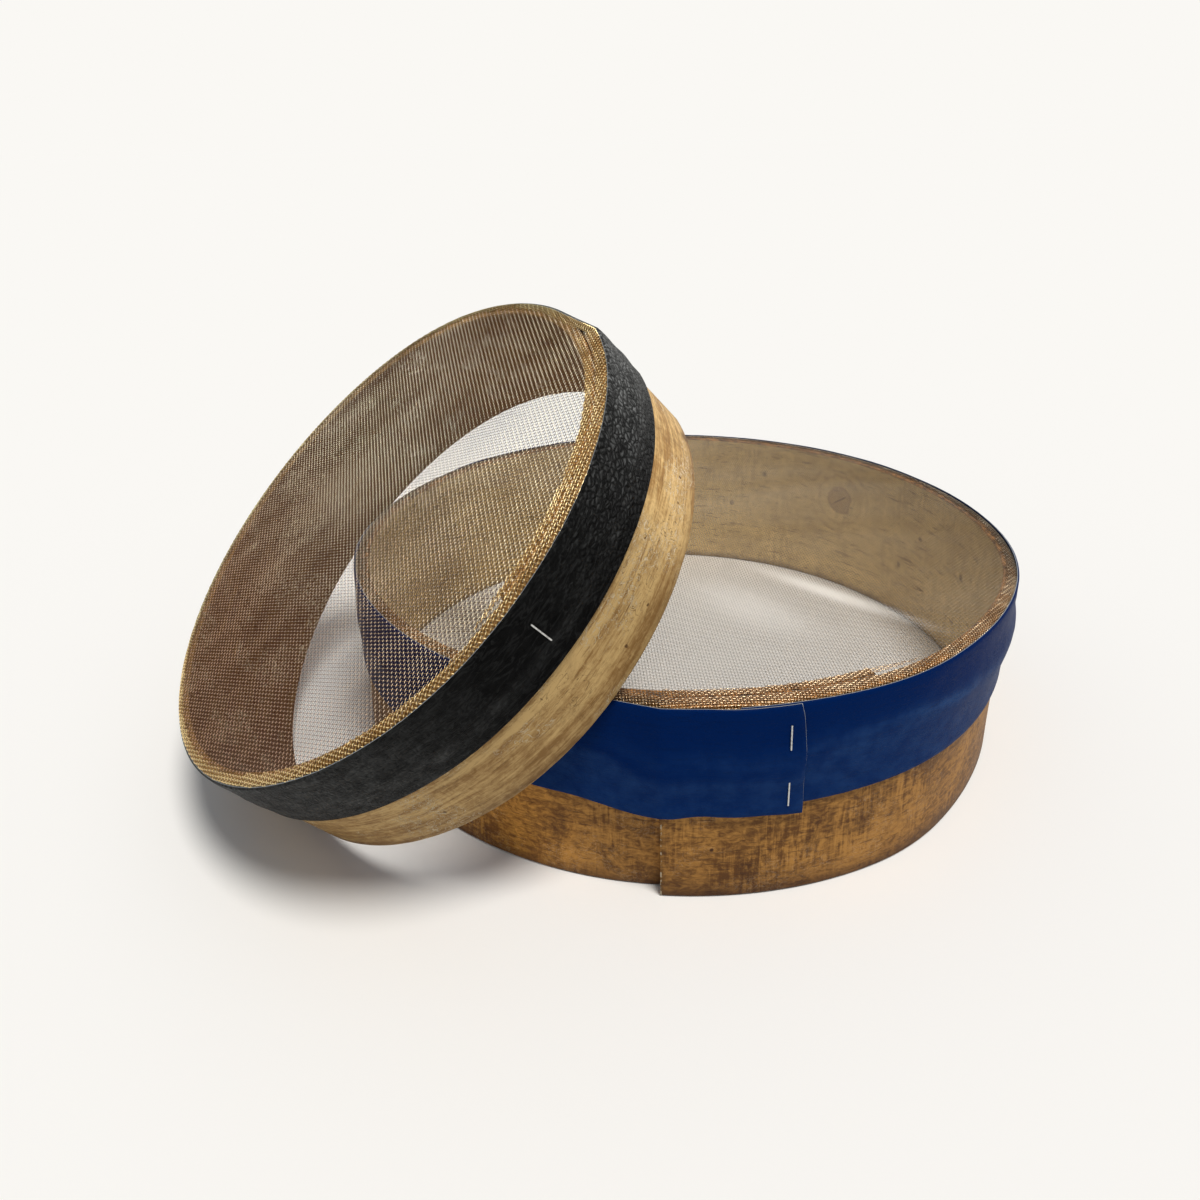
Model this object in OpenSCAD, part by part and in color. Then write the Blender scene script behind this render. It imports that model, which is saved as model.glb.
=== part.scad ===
// A pair of drum sieves: one stands on its foot, the other leans on its rim.
// Each is a bent wooden strip lapped on itself, a woven cloth over the top edge
// and a band that covers the turned-down margin of the cloth.

/* [Standing sieve] */
// Outer diameter of the hoop where the strip is single
stand_d = 308; // [260:2:340]
// Height of the hoop
stand_h = 82; // [76:1:100]
// Thickness of the bent strip
stand_strip = 5; // [4:0.5:7]
// Angle over which the strip laps itself
stand_lap = 30; // [24:1:45]
// Angle over which the outer layer runs back in after the lap
stand_ease = 40; // [32:1:60]
// Direction of the strip's outer end, from +X towards +Y
stand_seam = 263.4; // [250:0.2:275]
// Width of the band
stand_band_w = 42.5; // [34:0.5:50]
// Angle from the strip's outer end to the band's outer end
stand_band_end = 18; // [16:0.5:22]
// Depth of the cloth's turned-down margin
stand_skirt = 24; // [18:1:30]
// Spacing of the wires that stand in for the fine cloth
stand_net = 24; // [22:1:30]

/* [Leaning sieve] */
// Outer diameter of the hoop where the strip is single
lean_d = 236; // [190:2:240]
// Height of the hoop
lean_h = 59; // [54:1:70]
// Thickness of the bent strip
lean_strip = 4.6; // [4:0.2:6]
// Angle over which the strip laps itself
lean_lap = 62; // [50:1:70]
// Angle over which the outer layer runs back in after the lap
lean_ease = 64; // [50:1:76]
// Turn of the strip's outer end from the lowest point of the rim
lean_seam = 157; // [150:1:165]
// Width of the band
lean_band_w = 29; // [24:0.5:34]
// Angle from the strip's outer end to the band's outer end
lean_band_end = 250; // [240:1:280]
// Depth of the cloth's turned-down margin
lean_skirt = 17; // [15:1:22]
// Spacing of the wires that stand in for the fine cloth
lean_net = 18; // [17:1:24]

/* [Lean] */
// Angle of the leaning sieve's axis from the vertical
lean_tilt = 42.5; // [38:0.5:46]
// Direction in which it leans out, from +X towards +Y
lean_way = 208; // [195:1:220]
// Clearance left between the two sieves where they meet
rest_gap = 0.3; // [0.2:0.1:1]

/* [Strip] */
// Bevel along the strip's two inner edges
strip_edge = 0.8; // [0.4:0.1:1.2]
// Glue line between the layers of a lap
lap_gap = 0.3; // [0.2:0.1:0.6]

/* [Wire cloth] */
// Thickness of the cloth
cloth_t = 0.8; // [0.6:0.1:1]
// Thickness of the wires that stand in for the fine cloth
wire_w = 1.2; // [0.8:0.1:1.6]
// Width of the cloth's flat border inside the hoop
border_in = 1.5; // [1:0.5:3]

/* [Band] */
// Thickness of the band
band_t = 1; // [0.8:0.1:1.4]
// Distance of the band's upper edge below the hoop's
band_drop = 0.6; // [0.2:0.2:1.4]
// Angle over which the band's end lies on its start
band_over = 8; // [6:0.5:9]

/* [Staples and nails] */
// Length of a band staple's crown
staple_crown = 10; // [8:0.5:12]
// Length of a cloth staple's crown
tack_crown = 8; // [6:0.5:10]
// Depth of a staple's legs in the wood
staple_leg = 3; // [2:0.5:3.5]
// Width of the staple wire
staple_w = 1.1; // [0.9:0.1:1.3]
// Thickness of the staple wire
staple_t = 0.5; // [0.4:0.1:0.6]
// Number of cloth staples round the standing sieve
stand_tacks = 16; // [8:1:24]
// Number of cloth staples round the leaning sieve
lean_tacks = 12; // [8:1:20]
// Diameter of a lap nail's shank
nail_d = 1.6; // [1.2:0.1:2]
// Diameter of a lap nail's head
nail_head_d = 3.2; // [2.6:0.2:4]

/* [Hidden] */
$fn = 96;

// A sieve's sizes, in the order that the functions below read them
stand = [stand_d / 2, stand_h, stand_strip, stand_lap, stand_ease];
lean = [lean_d / 2, lean_h, lean_strip, lean_lap, lean_ease];
function radius(s) = s[0];
function height(s) = s[1];
function strip(s) = s[2];
function lap(s) = s[3];
function ease(s) = s[4];

// Staples and nails: angle from the strip's outer end and height over the foot
stand_staple_turn = stand_band_end - 1.7;
stand_staple_z = [stand_h - 37.5, stand_h - 16];
lean_staple_turn = 62.4;
lean_staple_z = [lean_h - 16.2];
stand_nail_turn = [6.7];
stand_nail_z = [20.5, 33, 66];
lean_nail_turn = [22, 48];
lean_nail_z = [9.5, 22];
nail_head_t = 0.5;
nail_point = 1.5;
nail_sink = 0.05;
tack_drop = 2;
tack_sink = 0.1;
cut_end = 0.5;
slice_lap = 1;
glue_share = 0.8;
ramp_share = 0.8;

function unit(a) = [cos(a), sin(a)];

// How far the outer layer of a lap stands out from the single strip
function step_out(s) = strip(s) + lap_gap;

// Shift of the two arcs that bring the outer layer back in: their centres lie
// on the rays that bound them, so every arc meets the next one at a tangent
function ease_shift(s) = step_out(s) / (2 * (1 - cos(ease(s) / 2)));

// Arcs of the outer layer: centre, outer radius, first and last angle, and how
// far the slice under the arc runs on past them, inside its larger neighbours
function lap_arcs(s) =
    let (
        r = radius(s),
        k = step_out(s),
        e = ease_shift(s),
        l = lap(s),
        m = l + ease(s) / 2,
        n = l + ease(s)
    ) [
        [[0, 0], r + k, 0, l, 0],
        [e * unit(l), r + k - e, l, m, slice_lap],
        [-e * unit(n), r + e, m, n, 0]
    ];

// Distance from the centre to a circle whose centre is shifted by c
function reach(c, r, a) =
    let (along = c * unit(a), across = c * unit(a + 90))
    along + sqrt(r * r - across * across);

// Angle of the straight stretch where cloth and band climb a step of k
function climb(r, k) = acos(r / (r + k));

// Outer radius at angle a past the strip's outer end, with out of wrapping
function outline_r(s, out, a) =
    let (
        q = ((a % 360) + 360) % 360,
        arcs = lap_arcs(s),
        r = radius(s) + out,
        c = climb(r, step_out(s))
    )
    q < arcs[0][3] ? arcs[0][1] + out :
    q < arcs[1][3] ? reach(arcs[1][0], arcs[1][1] + out, q) :
    q < arcs[2][3] ? reach(arcs[2][0], arcs[2][1] + out, q) :
    q > 360 - c ? r / cos(q - 360 + c) :
    r;

// Radius of the strip's inner face at angle a past its outer end
function inner_r(s, a) =
    let (q = ((a % 360) + 360) % 360)
    q < lap(s) || q > lap(s) + ease(s) ?
        radius(s) - strip(s) :
        outline_r(s, -strip(s), q);

// The leaning sieve's height and its distance out. The lowest point of its rim
// is on the floor, and the rim's inner edge crosses the standing sieve's rim.
tilt_cos = cos(lean_tilt);
tilt_sin = sin(lean_tilt);
wrap_t = cloth_t + band_t;
lean_z = radius(lean) * tilt_sin;

// Angle on the leaning rim, from its lowest point, where it is at height z
function rim_turn(r, z) = acos(max(-1, min(1, (lean_z - z) / (r * tilt_sin))));

// Distance out at which a rim circle of radius r, lifted by up along the axis,
// clears a circle of radius big at height z
function clear_out(r, up, big, z) =
    let (turn = rim_turn(r, z - up * tilt_cos), side = r * sin(turn))
    sqrt(max(0, big * big - side * side)) - r * cos(turn) * tilt_cos - up * tilt_sin;

// Direction from the standing sieve's centre to that crossing, d out
function cross_way(r, up, d, z) =
    let (turn = rim_turn(r, z - up * tilt_cos))
    atan2(r * sin(turn), d + r * cos(turn) * tilt_cos + up * tilt_sin);

rim_edges = [[strip_edge, 0], [0, strip_edge]];
top_edges = [
    [cloth_t, stand_h + cloth_t],
    [wrap_t, stand_h - band_drop]
];

function rest_out(d) = max([
    for (side = [-1, 1])
        for (rim = rim_edges)
            for (top = top_edges)
                let (
                    z = top[1] + rest_gap,
                    turn = rim_turn(radius(lean) - strip(lean), z),
                    r = inner_r(lean, lean_seam - side * turn) + rim[0],
                    way = lean_way + side * cross_way(r, rim[1], d, z),
                    big = outline_r(stand, top[0], way - stand_seam) + rest_gap
                )
                clear_out(r, rim[1], big, z)
]);

// A few rounds settle the distance, since the crossing moves with it
function settle(d, rounds) = rounds == 0 ? d : settle(rest_out(d), rounds - 1);
lean_out = settle(radius(stand) * 0.7, 6);
lean_at = [lean_out * cos(lean_way), lean_out * sin(lean_way), lean_z];

// A point of the leaning sieve's own frame, placed in the pair
function placed(p) =
    let (
        x = p[0] * tilt_cos + p[2] * tilt_sin,
        z = -p[0] * tilt_sin + p[2] * tilt_cos
    )
    lean_at + [
        x * cos(lean_way) - p[1] * sin(lean_way),
        x * sin(lean_way) + p[1] * cos(lean_way),
        z
    ];

// Outline points of both sieves, for the middle of the pair's bounding box
full_turn = [for (a = [0:1:359]) a];
stand_points = [
    for (a = full_turn)
        outline_r(stand, wrap_t, a - stand_seam) * unit(a)
];
lean_points = [
    for (a = full_turn)
        for (level = [[0, 0], [wrap_t, lean_h - lean_band_w - band_drop],
                      [wrap_t, lean_h - band_drop], [cloth_t, lean_h + cloth_t]])
            let (r = outline_r(lean, level[0], lean_seam - a))
            placed([r * cos(a), r * sin(a), level[1]])
];
all_x = concat([for (p = stand_points) p[0]], [for (p = lean_points) p[0]]);
all_y = concat([for (p = stand_points) p[1]], [for (p = lean_points) p[1]]);
middle = [(min(all_x) + max(all_x)) / 2, (min(all_y) + max(all_y)) / 2, 0];

module at_stand() {
    translate(-middle)
        rotate(stand_seam)
            children();
}

module at_lean() {
    translate(lean_at - middle)
        rotate([0, lean_tilt, lean_way])
            rotate(lean_seam)
                mirror([0, 1, 0])
                    children();
}

// Slice of a disc from one angle to another, less than half a turn
module pie(r, from, to) {
    far = 2 * r;
    intersection() {
        circle(r = r);
        polygon([[0, 0], far * unit(from), far * unit((from + to) / 2), far * unit(to)]);
    }
}

// Plan of the sieve with out of wrapping round the lapped strip
module plan(s, out) {
    r = radius(s) + out;
    top = r + step_out(s);
    circle(r = r);
    for (arc = lap_arcs(s))
        translate(arc[0])
            pie(arc[1] + out, arc[2] - arc[4], arc[3] + arc[4]);
    polygon([[0, 0], r * unit(-climb(r, step_out(s))), [top, 0]]);
}

// Plan of the strip: the lapped outline less what lies inside it. Past the lap
// the inner face follows the outer layer, and in the lap a glue line parts them
module strip_plan(s) {
    r = radius(s);
    t = strip(s);
    arcs = lap_arcs(s);
    difference() {
        union() {
            circle(r = r);
            for (arc = arcs)
                translate(arc[0])
                    pie(arc[1], arc[2] - arc[4], arc[3] + arc[4]);
        }
        circle(r = r - t);
        translate(arcs[1][0])
            pie(arcs[1][1] - t, arcs[1][2], arcs[1][3] + slice_lap);
        translate(arcs[2][0])
            pie(arcs[2][1] - t, arcs[2][2], arcs[2][3]);
        difference() {
            pie(r + glue_share * lap_gap, -slice_lap, lap(s) + slice_lap);
            circle(r = r);
        }
    }
}

module hoop(s) {
    r = radius(s) - strip(s);
    c = strip_edge;
    difference() {
        linear_extrude(height(s))
            strip_plan(s);
        for (end = [0, 1])
            translate([0, 0, end * height(s)])
                mirror([0, 0, end])
                    translate([0, 0, -c])
                        cylinder(r1 = r + 2 * c, r2 = r, h = 2 * c);
    }
}

// Crossing wires that span a disc of radius r
module net(r, pitch) {
    lines = floor(r / pitch);
    intersection() {
        circle(r = r);
        for (turn = [0, 90])
            for (i = [-lines:lines])
                rotate(turn)
                    translate([i * pitch - wire_w / 2, -r])
                        square([wire_w, 2 * r]);
    }
}

// Cloth over the top edge of the strip
module wire_cloth(s, pitch) {
    inner = radius(s) - strip(s) - border_in;
    translate([0, 0, height(s)])
        linear_extrude(cloth_t) {
            difference() {
                plan(s, cloth_t);
                circle(r = inner);
            }
            net(inner + border_in, pitch);
        }
}

// The cloth's margin, turned down outside the strip
module cloth_margin(s, skirt) {
    translate([0, 0, height(s) - skirt])
        linear_extrude(skirt)
            difference() {
                plan(s, cloth_t);
                plan(s, 0);
            }
}

// Band with its outer end laid over its start, ending at angle end
module band(s, w, end) {
    start = end - band_over;
    under = outline_r(s, wrap_t, end);
    rise = ramp_share * climb(under, band_t);
    translate([0, 0, height(s) - band_drop - w])
        linear_extrude(w)
            difference() {
                union() {
                    plan(s, wrap_t);
                    pie(under + band_t, start, end);
                    polygon([
                        [0, 0],
                        under * unit(start - rise),
                        (under + band_t) * unit(start)
                    ]);
                }
                plan(s, cloth_t);
            }
}

// Staple with its crown upright on a face at x = 0 and its legs inwards
module staple(crown, leg) {
    tip = staple_w / 2;
    translate([0, -staple_w / 2, -crown / 2])
        cube([staple_t, staple_w, crown]);
    for (end = [-1, 1])
        translate([0, staple_w / 2, end * (crown - staple_t) / 2 - staple_t / 2])
            linear_extrude(staple_t)
                polygon([
                    [cut_end * staple_t, -staple_w], [-leg + tip, -staple_w],
                    [-leg, -tip], [-leg + tip, 0], [cut_end * staple_t, 0]
                ]);
}

// Pointed nail driven from a face at x = 0 through both layers of the lap
module nail(s) {
    long = 2 * strip(s) + lap_gap - 2 * nail_sink;
    rotate([0, -90, 0])
        translate([0, 0, nail_sink]) {
            cylinder(d = nail_head_d, h = nail_head_t, $fn = 32);
            cylinder(d = nail_d, h = long - nail_point, $fn = 32);
            translate([0, 0, long - nail_point])
                cylinder(d1 = nail_d, d2 = nail_d / 4, h = nail_point, $fn = 32);
        }
}

module band_staples(s, turn, heights, skin) {
    face = outline_r(s, skin, turn);
    leg = skin + staple_leg;
    for (z = heights)
        rotate(turn)
            translate([face, 0, z])
                staple(staple_crown, leg);
}

// Staples sunk flush into the cloth's margin, spaced round under the band
module cloth_staples(s, count) {
    z = height(s) - band_drop - tack_drop - tack_crown / 2;
    for (i = [0:count - 1]) {
        turn = (i + 0.5) * 360 / count;
        face = outline_r(s, cloth_t, turn) - staple_t - tack_sink;
        rotate(turn)
            translate([face, 0, z])
                staple(tack_crown, staple_leg);
    }
}

module lap_nails(s, turns, heights) {
    face = radius(s) + step_out(s);
    for (turn = turns)
        for (z = heights)
            rotate(turn)
                translate([face, 0, z])
                    nail(s);
}

module standing_hoop() {
    color("saddlebrown") at_stand() hoop(stand);
}

module standing_wire_cloth() {
    color("darkkhaki") at_stand() wire_cloth(stand, stand_net);
}

module standing_cloth_margin() {
    color("darkkhaki") at_stand() cloth_margin(stand, stand_skirt);
}

module standing_band() {
    color("midnightblue") at_stand() band(stand, stand_band_w, stand_band_end);
}

module standing_band_staples() {
    color("silver") at_stand()
        band_staples(stand, stand_staple_turn, stand_staple_z, wrap_t + band_t);
}

module standing_cloth_staples() {
    color("silver") at_stand() cloth_staples(stand, stand_tacks);
}

module standing_lap_nails() {
    color("dimgray") at_stand() lap_nails(stand, stand_nail_turn, stand_nail_z);
}

module leaning_hoop() {
    color("burlywood") at_lean() hoop(lean);
}

module leaning_wire_cloth() {
    color("goldenrod") at_lean() wire_cloth(lean, lean_net);
}

module leaning_cloth_margin() {
    color("goldenrod") at_lean() cloth_margin(lean, lean_skirt);
}

module leaning_band() {
    color("black") at_lean() band(lean, lean_band_w, lean_band_end);
}

module leaning_band_staple() {
    color("silver") at_lean()
        band_staples(lean, lean_staple_turn, lean_staple_z, wrap_t);
}

module leaning_cloth_staples() {
    color("silver") at_lean() cloth_staples(lean, lean_tacks);
}

module leaning_lap_nails() {
    color("dimgray") at_lean() lap_nails(lean, lean_nail_turn, lean_nail_z);
}

standing_hoop();
standing_wire_cloth();
standing_cloth_margin();
standing_band();
standing_band_staples();
standing_cloth_staples();
standing_lap_nails();
leaning_hoop();
leaning_wire_cloth();
leaning_cloth_margin();
leaning_band();
leaning_band_staple();
leaning_cloth_staples();
leaning_lap_nails();
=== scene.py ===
import math

import bmesh
import bpy
import numpy as np
from mathutils import Matrix, Vector, noise


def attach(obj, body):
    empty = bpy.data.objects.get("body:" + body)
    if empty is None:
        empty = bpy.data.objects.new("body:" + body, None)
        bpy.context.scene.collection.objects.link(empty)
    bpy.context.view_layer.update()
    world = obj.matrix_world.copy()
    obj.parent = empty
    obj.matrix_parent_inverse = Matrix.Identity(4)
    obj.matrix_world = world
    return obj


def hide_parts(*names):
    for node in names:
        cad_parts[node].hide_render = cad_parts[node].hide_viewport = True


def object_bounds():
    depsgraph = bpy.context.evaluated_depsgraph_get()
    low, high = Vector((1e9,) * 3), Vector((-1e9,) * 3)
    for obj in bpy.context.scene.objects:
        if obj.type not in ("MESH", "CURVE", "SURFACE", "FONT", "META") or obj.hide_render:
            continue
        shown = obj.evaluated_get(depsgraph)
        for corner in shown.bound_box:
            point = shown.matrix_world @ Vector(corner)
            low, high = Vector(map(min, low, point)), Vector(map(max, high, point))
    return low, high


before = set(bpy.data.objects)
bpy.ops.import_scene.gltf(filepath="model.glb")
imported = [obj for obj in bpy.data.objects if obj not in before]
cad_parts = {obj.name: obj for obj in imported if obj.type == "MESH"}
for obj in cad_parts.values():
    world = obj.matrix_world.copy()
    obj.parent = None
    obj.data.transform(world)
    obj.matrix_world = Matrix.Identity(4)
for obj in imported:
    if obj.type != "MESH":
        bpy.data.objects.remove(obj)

cad_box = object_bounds()

MM = 0.001

# Sizes of the two sieves in millimetres and degrees, as in the part's source
LAP_GAP = 0.3
BAND_T = 1.0
BAND_DROP = 0.6
BAND_OVER = 8.0
# Middle of the whole object's foot, which the frame puts at its origin
MIDDLE = (-35.6237, -15.2237, 0.0)
STAND = dict(name="standing", r=154.0, h=82.0, strip=5.0, lap=30.0, ease=40.0,
             band_w=42.5, band_end=18.0)
LEAN = dict(name="leaning", r=118.0, h=59.0, strip=4.6, lap=62.0, ease=64.0,
            band_w=29.0, band_end=250.0)
# Turn of each strip's outer end, and the way, tilt and place of the leaning sieve
STAND_SEAM = 263.4
LEAN_SEAM = 157.0
LEAN_TILT = 42.5
LEAN_WAY = 208.0
LEAN_OUT = 108.758
LEAN_Z = 79.7196


def turned(degrees, axis):
    return Matrix.Rotation(math.radians(degrees), 4, axis)


def moved(x, y, z):
    return Matrix.Translation((x, y, z))


STAND["place"] = (Matrix.Scale(MM, 4) @ moved(*[-c for c in MIDDLE])
                  @ turned(STAND_SEAM, "Z"))
LEAN["place"] = (
    Matrix.Scale(MM, 4)
    @ moved(LEAN_OUT * math.cos(math.radians(LEAN_WAY)) - MIDDLE[0],
            LEAN_OUT * math.sin(math.radians(LEAN_WAY)) - MIDDLE[1], LEAN_Z)
    @ turned(LEAN_WAY, "Z") @ turned(LEAN_TILT, "Y") @ turned(LEAN_SEAM, "Z")
    @ Matrix.Diagonal((1, -1, 1, 1)))
STAND["body"] = "standing_sieve"
LEAN["body"] = "leaning_sieve"


# ---- the lapped outline ----

def step_out(s):
    """How far the outer layer of the lap stands out from the single strip."""
    return s["strip"] + LAP_GAP


def shifted_arc(c, r, q):
    along = c * math.cos(math.radians(q))
    across = c * math.sin(math.radians(q))
    return along + math.sqrt(r * r - across * across)


def climb(r, k):
    return math.degrees(math.acos(r / (r + k)))


def outline(s, out, q):
    """Outer radius at angle q past the strip's outer end, with out of wrapping.
    The strip climbs over its own end on two arcs, which touch at the angle meet."""
    q = q % 360.0
    r = s["r"] + out
    k = step_out(s)
    lap, ease = s["lap"], s["ease"]
    e = k / (2 * (1 - math.cos(math.radians(ease / 2))))
    c = climb(r, k)
    half = math.radians(ease / 2)
    meet = lap + ease / 2 - math.degrees(
        math.atan2(e * math.sin(half), r + k - e + e * math.cos(half)))
    if q < lap:
        return r + k
    if q < meet:
        return shifted_arc(e, r + k - e, q - lap)
    if q < lap + ease:
        return shifted_arc(-e, r + e, q - lap - ease)
    if q > 360 - c:
        return r / math.cos(math.radians(q - 360 + c))
    return r


def strip_radius(s, q):
    """Outer radius of the one strip, from its outer end at 0 to its inner end."""
    return outline(s, 0.0, q) if q < s["lap"] + s["ease"] else s["r"]


def hump(x, middle, width):
    """1 at middle, falling off over width; x is an angle in degrees."""
    return np.exp(-(((x - middle + 180.0) % 360.0 - 180.0) / width) ** 2)


def sprung(s, q, z):
    """How far the old strip has sprung out of its circle: the standing hoop
    flares at the top of one side, the leaning one is flattened near its lap."""
    if s is STAND:
        return 4.7 * hump(q + STAND_SEAM, -24.0, 29.0) * (np.maximum(z, 0.0) / s["h"]) ** 1.5
    return -5.6 * hump(LEAN_SEAM - q, 186.0, 40.0)


def smooth(a, b, x):
    t = min(1.0, max(0.0, (x - a) / (b - a)))
    return t * t * (3 - 2 * t)


def wave(*p):
    """Soft noise from about -1 to 1 that is the same on every run."""
    return noise.noise(Vector(p))


# ---- mesh helpers ----

def to_object(name, s, mesh, material, node_names, smooth_shade=True):
    """Places a mesh made in the sieve's own millimetres and gives it to its body."""
    mesh.transform(s["place"])
    if s["place"].determinant() < 0:
        mesh.flip_normals()
    if smooth_shade:
        mesh.shade_smooth()
    obj = bpy.data.objects.new(name, mesh)
    bpy.context.scene.collection.objects.link(obj)
    if material is not None and not mesh.materials:
        mesh.materials.append(material)
    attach(obj, s["body"])
    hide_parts(*node_names)
    return obj


def swept_shell(name, sections, along):
    """Closed shell through a list of sections that all have the same points.
    along holds one vector a point, kept as the attribute Along for materials."""
    sections = np.asarray(sections, float)
    n, m, _ = sections.shape
    faces = []
    for i in range(n - 1):
        for j in range(m):
            k = (j + 1) % m
            faces.append((i * m + j, (i + 1) * m + j, (i + 1) * m + k, i * m + k))
    faces.append(tuple(range(m)))
    faces.append(tuple((n - 1) * m + j for j in range(m - 1, -1, -1)))
    mesh = bpy.data.meshes.new(name)
    mesh.from_pydata(sections.reshape(-1, 3).tolist(), [], faces)
    layer = mesh.attributes.new("Along", "FLOAT_VECTOR", "POINT")
    layer.data.foreach_set("vector", np.asarray(along, np.float32).ravel())
    turn_outwards(mesh)
    return mesh


def turn_outwards(mesh):
    shell = bmesh.new()
    shell.from_mesh(mesh)
    bmesh.ops.recalc_face_normals(shell, faces=shell.faces)
    shell.to_mesh(mesh)
    shell.free()


def rounded_section(w, h, r, steps=3):
    """Points round a rectangle of width w and height h from its lower corner,
    with corners of radius r. Width runs inwards from 0 to -w."""
    points = []
    for cx, cy, start in ((-r, r, 270), (-r, h - r, 0), (-w + r, h - r, 90), (-w + r, r, 180)):
        for i in range(steps + 1):
            a = math.radians(start + 90.0 * i / steps)
            points.append((cx + r * math.cos(a), cy + r * math.sin(a)))
    return points


# ---- materials ----

class Nodes:
    """A short way to write a shader or geometry tree."""

    def __init__(self, tree):
        self.tree = tree

    def add(self, kind, settings=None, **inputs):
        node = self.tree.nodes.new(kind)
        for key, value in (settings or {}).items():
            setattr(node, key, value)
        return self.fill(node, **inputs)

    def fill(self, node, **inputs):
        """Feeds a node's inputs by name, written with _ for a space."""
        for key, value in inputs.items():
            self.feed(node.inputs[key.replace("_", " ")], value)
        return node

    def feed(self, socket, value):
        if isinstance(value, bpy.types.Node):
            value = value.outputs[0]
        if isinstance(value, bpy.types.NodeSocket):
            self.tree.links.new(value, socket)
        else:
            socket.default_value = value

    def maths(self, operation, a, b=0.0, c=0.0, clamp=False):
        node = self.tree.nodes.new("ShaderNodeMath")
        node.operation = operation
        node.use_clamp = clamp
        for i, value in enumerate((a, b, c)):
            self.feed(node.inputs[i], value)
        return node.outputs[0]

    def plus(self, a, b, clamp=False):
        return self.maths("ADD", a, b, clamp=clamp)

    def minus(self, a, b):
        return self.maths("SUBTRACT", a, b)

    def times(self, a, b):
        return self.maths("MULTIPLY", a, b)

    def swing(self, noise_value, amount):
        """A noise about its middle, as strong as amount."""
        return self.times(self.minus(noise_value, 0.5), amount)

    def off(self, a, middle):
        """How far a value lies from a middle value, on either side."""
        return self.maths("ABSOLUTE", self.minus(a, middle))

    def vectors(self, operation, *given):
        node = self.add("ShaderNodeVectorMath", {"operation": operation})
        for socket, value in zip(node.inputs, given):
            self.feed(socket, value)
        return node.outputs["Value" if operation in ("LENGTH", "DISTANCE") else "Vector"]

    def split(self, vector):
        return self.add("ShaderNodeSeparateXYZ", Vector=vector).outputs

    def mix(self, factor, a, b, blend="MIX"):
        node = self.tree.nodes.new("ShaderNodeMix")
        node.data_type = "RGBA"
        node.blend_type = blend
        self.feed(node.inputs[0], factor)
        self.feed(node.inputs[6], a)
        self.feed(node.inputs[7], b)
        return node.outputs[2]

    def scaled(self, vector, x, y, z):
        return self.vectors("MULTIPLY", vector, (x, y, z))

    def grain(self, vector, x, y, z, detail=3.0, rough=0.55, twist=0.0):
        """Noise drawn out by a different scale along each axis."""
        node = self.add("ShaderNodeTexNoise", Scale=1.0, Detail=detail,
                        Roughness=rough, Distortion=twist,
                        Vector=self.scaled(vector, x, y, z))
        return node.outputs["Fac"]

    def step(self, factor, low, high):
        """0 below low, 1 above high, soft between."""
        node = self.tree.nodes.new("ShaderNodeMapRange")
        node.interpolation_type = "SMOOTHSTEP"
        self.feed(node.inputs[0], factor)
        node.inputs[1].default_value = low
        node.inputs[2].default_value = high
        return node.outputs[0]


def effect(name, inputs, outputs):
    """A shader node group, with its inner nodes ready to be written. inputs and
    outputs list the sockets' names by kind."""
    tree = bpy.data.node_groups.new(name, "ShaderNodeTree")
    kinds = {"colour": "NodeSocketColor", "value": "NodeSocketFloat",
             "vector": "NodeSocketVector"}
    for in_out, sockets in (("INPUT", inputs), ("OUTPUT", outputs)):
        for kind, labels in sockets.items():
            for label in labels:
                tree.interface.new_socket(label, in_out=in_out, socket_type=kinds[kind])
    start = tree.nodes.new("NodeGroupInput")
    end = tree.nodes.new("NodeGroupOutput")
    return tree, Nodes(tree), start.outputs, end.inputs


def new_material(name):
    material = bpy.data.materials.new(name)
    material.use_nodes = True
    nodes = Nodes(material.node_tree)
    shader = material.node_tree.nodes["Principled BSDF"]
    return material, nodes, shader


def use(nodes, group, **inputs):
    return nodes.add("ShaderNodeGroup", {"node_tree": group}, **inputs).outputs


def mask(nodes, name):
    return nodes.add("ShaderNodeAttribute", {"attribute_name": name}).outputs["Fac"]


def bump(nodes, height, distance, strength):
    return nodes.add("ShaderNodeBump", Strength=strength, Distance=distance, Height=height)


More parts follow.
